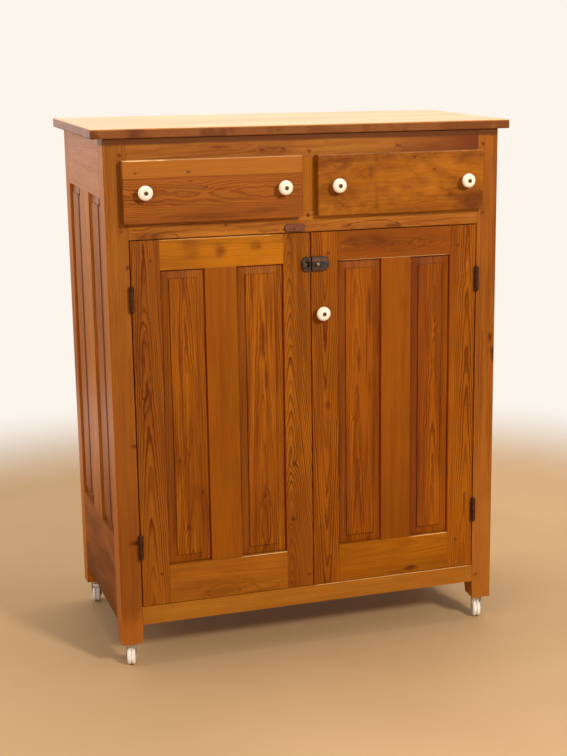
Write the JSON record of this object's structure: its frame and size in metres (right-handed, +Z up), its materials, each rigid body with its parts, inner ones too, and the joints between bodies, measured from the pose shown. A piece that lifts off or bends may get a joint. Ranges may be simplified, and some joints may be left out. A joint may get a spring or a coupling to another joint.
{
  "type": "jelly cupboard",
  "caption": "Tall pine cupboard on castors, with drawers over a pair of frame-and-panel doors, china knobs, a turn button and a sliding cupboard latch.",
  "frame": {"origin": "middle of the footprint of the whole cupboard, drawer knobs included, on the floor", "axes": "+X to the right of the cupboard as its doors are faced, +Y to the back, +Z up"},
  "size_m": [1.088, 0.5896, 1.371],
  "materials": {
    "stained_pine": "satin",
    "bare_pine": "matte",
    "china": "gloss",
    "iron": "matte",
    "brass": "satin"
  },
  "bodies": {
    "case": {"top_board": "stained_pine", "post_front_left": "stained_pine", "post_front_right": "stained_pine", "post_back_left": "stained_pine", "post_back_right": "stained_pine", "front_top_rail": "stained_pine", "front_mid_rail": "stained_pine", "front_bottom_rail": "stained_pine", "drawer_divider": "stained_pine", "side_rails_left": "stained_pine", "side_rails_right": "stained_pine", "side_muntin_left": "stained_pine", "side_muntin_right": "stained_pine", "side_panels_left": "stained_pine", "side_panels_right": "stained_pine", "back_boards": "bare_pine", "back_rails": "bare_pine", "floor_board": "bare_pine", "shelves": "bare_pine", "shelf_cleats": "bare_pine", "drawer_runners": "bare_pine", "hinge_leaves_post_left": "iron", "hinge_leaves_post_right": "iron", "turn_button_screw": "iron", "castor_sockets": "iron"},
    "turn_button": {"turn_button": "iron"},
    "latch_bolt": {"latch_bolt": "iron", "latch_knob": "brass"},
    "door_left": {"door_left_hinge_stile": "stained_pine", "door_left_meeting_stile": "stained_pine", "door_left_rails": "stained_pine", "door_left_muntin": "stained_pine", "door_left_panels": "stained_pine", "hinge_leaves_door_left": "iron", "latch_keeper": "iron"},
    "drawer_left": {"drawer_left_front": "stained_pine", "drawer_left_box": "bare_pine", "drawer_left_bottom": "bare_pine", "drawer_left_knobs": "china"},
    "door_right": {"door_right_hinge_stile": "stained_pine", "door_right_meeting_stile": "stained_pine", "door_right_rails": "stained_pine", "door_right_muntin": "stained_pine", "door_right_panels": "stained_pine", "hinge_leaves_door_right": "iron", "latch_case": "iron", "door_right_knob": "china"},
    "drawer_right": {"drawer_right_front": "stained_pine", "drawer_right_box": "bare_pine", "drawer_right_bottom": "bare_pine", "drawer_right_knobs": "china"},
    "castor_fork_front_left": {"castor_fork_front_left": "iron"},
    "castor_wheel_front_left": {"castor_wheel_front_left": "china"},
    "castor_fork_front_right": {"castor_fork_front_right": "iron"},
    "castor_wheel_front_right": {"castor_wheel_front_right": "china"},
    "castor_fork_back_left": {"castor_fork_back_left": "iron"},
    "castor_wheel_back_left": {"castor_wheel_back_left": "china"},
    "castor_fork_back_right": {"castor_fork_back_right": "iron"},
    "castor_wheel_back_right": {"castor_wheel_back_right": "china"}
  },
  "joints": [
    {"name": "drawer_left_slide", "type": "slide", "parent": "case", "child": "drawer_left", "axis": [0, -1, 0], "range_m": [0, 0.4]},
    {"name": "door_left_hinge", "type": "hinge", "parent": "case", "child": "door_left", "pos_m": [-0.4585, -0.25175, 0.6335], "axis": [0, 0, -1], "range_deg": [0, 170]},
    {"name": "drawer_right_slide", "type": "slide", "parent": "case", "child": "drawer_right", "axis": [0, -1, 0], "range_m": [0, 0.4]},
    {"name": "door_right_hinge", "type": "hinge", "parent": "case", "child": "door_right", "pos_m": [0.4585, -0.25175, 0.6335], "axis": [0, 0, 1], "range_deg": [0, 170]},
    {"name": "turn_button_turn", "type": "hinge", "parent": "case", "child": "turn_button", "pos_m": [-0.039, -0.24525, 1.1165], "axis": [0, 1, 0], "range_deg": [-90, 0]},
    {"name": "latch_bolt_slide", "type": "slide", "parent": "door_right", "child": "latch_bolt", "axis": [1, 0, 0], "range_m": [-0.007, 0]},
    {"name": "castor_front_left_swivel", "type": "hinge", "parent": "case", "child": "castor_fork_front_left", "pos_m": [-0.4875, -0.21775, 0.065], "axis": [0, 0, 1], "continuous": true},
    {"name": "castor_front_left_spin", "type": "hinge", "parent": "castor_fork_front_left", "child": "castor_wheel_front_left", "pos_m": [-0.48659, -0.21437, 0.0225], "axis": [0.9659, -0.2588, 0], "continuous": true},
    {"name": "castor_front_right_swivel", "type": "hinge", "parent": "case", "child": "castor_fork_front_right", "pos_m": [0.4875, -0.21775, 0.065], "axis": [0, 0, 1], "continuous": true},
    {"name": "castor_front_right_spin", "type": "hinge", "parent": "castor_fork_front_right", "child": "castor_wheel_front_right", "pos_m": [0.48841, -0.21437, 0.0225], "axis": [0.9659, -0.2588, 0], "continuous": true},
    {"name": "castor_back_left_swivel", "type": "hinge", "parent": "case", "child": "castor_fork_back_left", "pos_m": [-0.4875, 0.26725, 0.065], "axis": [0, 0, 1], "continuous": true},
    {"name": "castor_back_left_spin", "type": "hinge", "parent": "castor_fork_back_left", "child": "castor_wheel_back_left", "pos_m": [-0.48659, 0.27063, 0.0225], "axis": [0.9659, -0.2588, 0], "continuous": true},
    {"name": "castor_back_right_swivel", "type": "hinge", "parent": "case", "child": "castor_fork_back_right", "pos_m": [0.4875, 0.26725, 0.065], "axis": [0, 0, 1], "continuous": true},
    {"name": "castor_back_right_spin", "type": "hinge", "parent": "castor_fork_back_right", "child": "castor_wheel_back_right", "pos_m": [0.48841, 0.27063, 0.0225], "axis": [0.9659, -0.2588, 0], "continuous": true}
  ]
}
